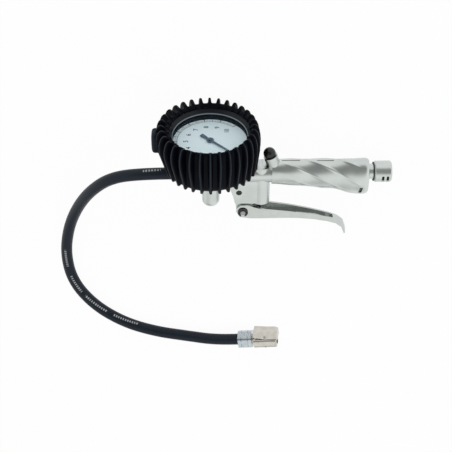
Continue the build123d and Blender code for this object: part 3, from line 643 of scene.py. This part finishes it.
# %% Small rubber seals
seal = Finish("seal_rubber", Roughness=0.6)
seal_grain = seal.noise(900.0, 2.0)
seal.set("Base Color", seal.mix(seal_grain, grey(0.010), grey(0.022)))
seal.bump(seal_grain, 0.00005, 0.5)
give(seal, "valve_seal", "gauge_seal", "inlet_seal", "chuck_seal")

# %% Black plastic and blackened steel
black = Finish("black_gloss")
black_grain = black.noise(300.0)
black.set("Base Color", black.mix(black_grain, grey(0.004), grey(0.010)))
black.set("Roughness", 0.14 + black_grain * 0.16)
give(black, "bleed_button", "lever_clips")
socket_screw.data.materials.append(black.material)

# %% Black enamel of the case
enamel = Finish("case_enamel", Specular_IOR_Level=0.2)
orange_peel = enamel.noise(500.0, 2.0)
case_back = enamel.along(grip_back)
case_side = enamel.along(across_gun)
from_axis = (case_back * case_back + case_side * case_side).math("SQRT")
# painted highlight: a thin bright ring of colour along the lip of the case, where its edge catches
# the light
HIGHLIGHT_IN, HIGHLIGHT_OUT = (0.0357, 0.0359), (0.0362, 0.0366)
lip_highlight = from_axis.ramp(*HIGHLIGHT_IN) * (1 - from_axis.ramp(*HIGHLIGHT_OUT))
painted = enamel.mix(orange_peel, (0.006, 0.007, 0.010, 1), (0.012, 0.014, 0.018, 1))
enamel.set("Base Color", enamel.mix(lip_highlight, painted, (0.20, 0.25, 0.28, 1)))
enamel.set("Roughness", 0.22 + orange_peel * 0.16)
enamel.bump(orange_peel, 0.00008, 0.4)
give(enamel, "gauge_case", "gauge_bezel")

# %% Liner between dial and glass, near black as painted shade
# painted shade: the liner's near-black colour stands in for the shade inside the bezel
liner = Finish("liner_painted_shade", Roughness=0.8, Specular_IOR_Level=0.1)
liner_tone = liner.noise(500.0, 2.0)
liner_dark, liner_light = (0.003, 0.004, 0.006, 1), (0.006, 0.008, 0.011, 1)
liner.set("Base Color", liner.mix(liner_tone, liner_dark, liner_light))
give(liner, "dial_ring")

# %% [markdown]
# ## Dial, needle and glass
# The dial is painted tin, pale and slightly cool. Its scale is printed: a
# ring of fine lines and plain numbers. Each mark is a thin sheet laid a hair
# above the paint, because a printed edge has to stay sharp.

# %% Dial paint
dial_paint = Finish("dial_paint")
dial_tone = dial_paint.noise(60.0)
pale = dial_paint.mix(dial_tone, (0.80, 0.95, 0.98, 1), (0.84, 0.97, 1.0, 1))
dial_paint.set("Base Color", pale)
dial_paint.set("Roughness", 0.42 + dial_tone * 0.14)
give(dial_paint, "gauge_dial")

# %% Needle paint and ink
needle_paint = Finish("needle_paint")
needle_tone = needle_paint.noise(300.0, 2.0)
blue_grey = needle_paint.mix(needle_tone, (0.045, 0.085, 0.135, 1), (0.07, 0.12, 0.18, 1))
needle_paint.set("Base Color", blue_grey)
needle_paint.set("Roughness", 0.3 + needle_tone * 0.2)
give(needle_paint, "needle")

ink = Finish("dial_ink", Roughness=0.55)
ink_tone = ink.noise(900.0, 2.0)
ink.set("Base Color", ink.mix(ink_tone, (0.040, 0.056, 0.068, 1), (0.060, 0.078, 0.090, 1)))
print("needle paint and ink ready")

# %% Glass
glass_tint = (0.10, 0.16, 0.20, 1)
glass = Finish("gauge_glass", Base_Color=glass_tint, Alpha=0.04, Specular_IOR_Level=0.15)
glass_smear = glass.noise(60.0)
glass.set("Roughness", 0.02 + glass_smear * 0.04)
glass.material.surface_render_method = "BLENDED"
give(glass, "gauge_window")

# %% Scale marks on the dial
DIAL_RISE = 0.00006
ZERO_ANGLE = math.radians(-45)
SWEEP = math.radians(270)


def scale_angle(reading):
    """Angle of a reading from 0 to 10, which runs clockwise round the dial."""
    return ZERO_ANGLE - SWEEP * reading / 10


def dial_point(radius, angle):
    """A point a hair above the dial's paint."""
    return on_gun(radius * math.cos(angle), radius * math.sin(angle), DIAL_RISE)


def add_band(points, faces, inner, outer, start, end, steps):
    """A flat piece of a ring between two radii and two angles."""
    first = len(points)
    for k in range(steps + 1):
        angle = start + (end - start) * k / steps
        points += [dial_point(inner, angle), dial_point(outer, angle)]
    for k in range(steps):
        a = first + 2 * k
        faces.append((a, a + 2, a + 3, a + 1))


mark_points, mark_faces = [], []
RING_IN, RING_OUT = 0.0316, 0.0319
add_band(mark_points, mark_faces, RING_IN, RING_OUT, scale_angle(10), scale_angle(0), 90)
for k in range(101):
    if k % 10 == 0:
        length, width = 0.0048, 0.00075
    elif k % 5 == 0:
        length, width = 0.0034, 0.00045
    else:
        length, width = 0.0021, 0.0003
    middle = scale_angle(k / 10)
    half = width / 2 / RING_OUT
    add_band(mark_points, mark_faces, RING_IN, RING_OUT + length, middle - half, middle + half, 1)
dial_marks = add_piece("dial_marks", mark_points, mark_faces)
dial_marks.data.materials.append(ink.material)
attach(dial_marks, "gun")

# %% Numbers on the dial
NUMBER_RADIUS = 0.0232
NUMBER_SIZE = 0.0064
NUMBER_WEIGHT = 0.00012
upright = -grip_back
reading_right = upright.cross(dial_out)
facing_out = Matrix((reading_right, upright, dial_out)).transposed().to_4x4()
for number in range(11):
    letters = bpy.data.curves.new("number_%d" % number, "FONT")
    letters.body = str(number)
    letters.size = NUMBER_SIZE
    letters.align_x = "CENTER"
    letters.align_y = "CENTER"
    letters.offset = NUMBER_WEIGHT
    letters.materials.append(ink.material)
    number_piece = bpy.data.objects.new("number_%d" % number, letters)
    bpy.context.scene.collection.objects.link(number_piece)
    number_place = dial_point(NUMBER_RADIUS, scale_angle(number))
    number_piece.matrix_world = Matrix.Translation(number_place) @ facing_out
    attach(number_piece, "gun")
print("numbers 0 to 10")

# %% [markdown]
# ## Hose rubber
# Extruded rubber is smooth and slightly shiny. A few white words are printed
# along it, as rows of plain strokes drawn with the hose's own UV map: metres
# along it choose the strokes, and the turn round it chooses the line.

# %% Printed words
hose_rubber = Finish("hose_rubber", Specular_IOR_Level=0.2)
hose_uv = hose_rubber.node("ShaderNodeUVMap", {"uv_map": "UVMap"}, {})
metres = hose_rubber.node("ShaderNodeSeparateXYZ", {}, {0: hose_uv}, 0)
round_turn = hose_rubber.node("ShaderNodeSeparateXYZ", {}, {0: hose_uv}, 1)
# the line of print winds slowly round the hose, and is broken into five words
PRINT_START, PRINT_WINDING = 1.20, 1.25  # turns, and turns for each metre
WORDS = [(0.012, 0.029), (0.204, 0.226), (0.238, 0.262), (0.268, 0.300), (0.308, 0.338)]
WORD_EDGE = 0.0003
STROKES_EACH_METRE = 360.0
print_turn = PRINT_START - metres * PRINT_WINDING
print_gap = ((round_turn - print_turn + 0.5).math("FRACT") - 0.5).math("ABSOLUTE")
in_line = 1 - print_gap.ramp(0.028, 0.034)
in_word = sum(metres.between(start, end, WORD_EDGE) for start, end in WORDS)
stroke = (metres * STROKES_EACH_METRE).math("FRACT")
stroke_end = 0.30 + hose_rubber.noise(330.0, 1.0) * 0.55
strokes = (1 - (stroke - stroke_end).ramp(0.0, 0.08)) * stroke.ramp(0.03, 0.10)
printed = in_line * strokes * in_word
print("print of", len(WORDS), "words")

# %% Rubber of the hose
drawn = hose_rubber.noise(220.0)
blue_black = hose_rubber.mix(drawn, (0.0060, 0.0098, 0.0170, 1), (0.0100, 0.0155, 0.0250, 1))
hose_rubber.set("Base Color", hose_rubber.mix(printed, blue_black, grey(0.34)))
hose_rubber.set("Roughness", 0.34 + drawn * 0.12)
hose_rubber.bump(drawn, 0.00005, 0.4)
hose_skin.data.materials.append(hose_rubber.material)
print(hose_rubber.material.name, "on", hose_skin.name)

# %% [markdown]
# ## Light
# Metal shows what is round it, so the room matters more than the lamps. The
# room here is a white tent with two soft dark sides: the opening in front,
# where the air is dim, and a grey wall behind. They draw the grey bands in
# the nickel. For plain light the tent is even, so paint keeps its colour.

# %% Room
world = bpy.data.worlds.new("tent")
bpy.context.scene.world = world
world.use_nodes = True
room = Tree(world.node_tree)
room.tree.nodes.clear()
looking = room.node("ShaderNodeTexCoord", {}, {}, "Generated")


def towards(direction):
    """How nearly a ray into the room runs along a direction, from -1 to 1."""
    values = {0: looking, 1: tuple(Vector(direction).normalized())}
    return room.node("ShaderNodeVectorMath", {"operation": "DOT_PRODUCT"}, values, "Value")


OPENING = (-0.10, -0.42, 0.90)
GREY_WALL = (0.25, 0.95, 0.22)
opening = towards(OPENING).ramp(0.74, 0.91)
wall = towards(GREY_WALL).ramp(0.86, 0.98)
mirrored = 1 - opening * 0.74 - wall * 0.45
EVEN_COLOUR, EVEN_STRENGTH = (0.95, 0.98, 1.0, 1), 0.72
TENT_COLOUR = (1, 1, 0.985, 1)
values = {"Color": EVEN_COLOUR, "Strength": EVEN_STRENGTH}
even_light = room.node("ShaderNodeBackground", {}, values)
values = {"Color": TENT_COLOUR, "Strength": mirrored.clamp()}
white_tent = room.node("ShaderNodeBackground", {}, values)
values = {0: room.shows_background(), 1: even_light, 2: white_tent}
room_shader = room.node("ShaderNodeMixShader", {}, values)
room.node("ShaderNodeOutputWorld", {}, {"Surface": room_shader})
print("room with", len(room.tree.nodes), "nodes")

# %% Lamps


def add_lamp(name, place, target, size, power):
    """A soft rectangular lamp, aimed at a target. Power is in watts."""
    data = bpy.data.lights.new(name, "AREA")
    data.shape = "RECTANGLE"
    data.size, data.size_y = size
    data.energy = power
    lamp = bpy.data.objects.new(name, data)
    bpy.context.scene.collection.objects.link(lamp)
    aim = (Vector(target) - Vector(place)).to_track_quat("-Z", "Y")
    lamp.matrix_world = Matrix.Translation(place) @ aim.to_matrix().to_4x4()
    # the nickel mirrors the tent alone, because a lamp on top of it would burn out
    lamp.visible_glossy = False
    print("lamp", name, power, "W")


add_lamp("dial_side", (0.3, -1.3, 0.8), (0, 0, 0.04), (1.3, 1.0), 4.7)
add_lamp("overhead", (-0.5, 0.6, 1.3), (0, 0.05, 0.04), (1.3, 1.1), 4.0)

# %% [markdown]
# ## Floor
# The floor is white paper. Most of its white comes from its own glow, which
# the camera and the nickel see, and the rest is lit paint, which keeps the
# shadow of the object.

# %% Floor
FLOOR_HALF, FLOOR_DROP = 3.0, 0.0002
GLOWING_SHARE = 0.95
corners = [(x * FLOOR_HALF, y * FLOOR_HALF, 0) for x, y in ((-1, -1), (1, -1), (1, 1), (-1, 1))]
floor = add_piece("floor", corners, [(0, 1, 2, 3)])
floor.location.z = -FLOOR_DROP
floor_paint = Finish("floor_paint", Base_Color=grey(0.9), Roughness=0.9)
floor_white = floor_paint.node("ShaderNodeEmission", {}, {"Color": grey(1), "Strength": 1.0})
floor_lit = Map(floor_paint, floor_paint.surface.outputs["BSDF"])
glowing = floor_paint.shows_background() * GLOWING_SHARE
floor_mix = floor_paint.node("ShaderNodeMixShader", {}, {0: glowing, 1: floor_lit, 2: floor_white})
floor_end = floor_paint.tree.nodes["Material Output"]
floor_paint.tree.links.new(floor_mix.socket, floor_end.inputs["Surface"])
floor.data.materials.append(floor_paint.material)
print("floor", 2 * FLOOR_HALF, "m wide")

# %% [markdown]
# ## Finish
# The colours are shown as they are written, without a film curve.

# %% Colours as written
bpy.context.scene.view_settings.view_transform = "Standard"
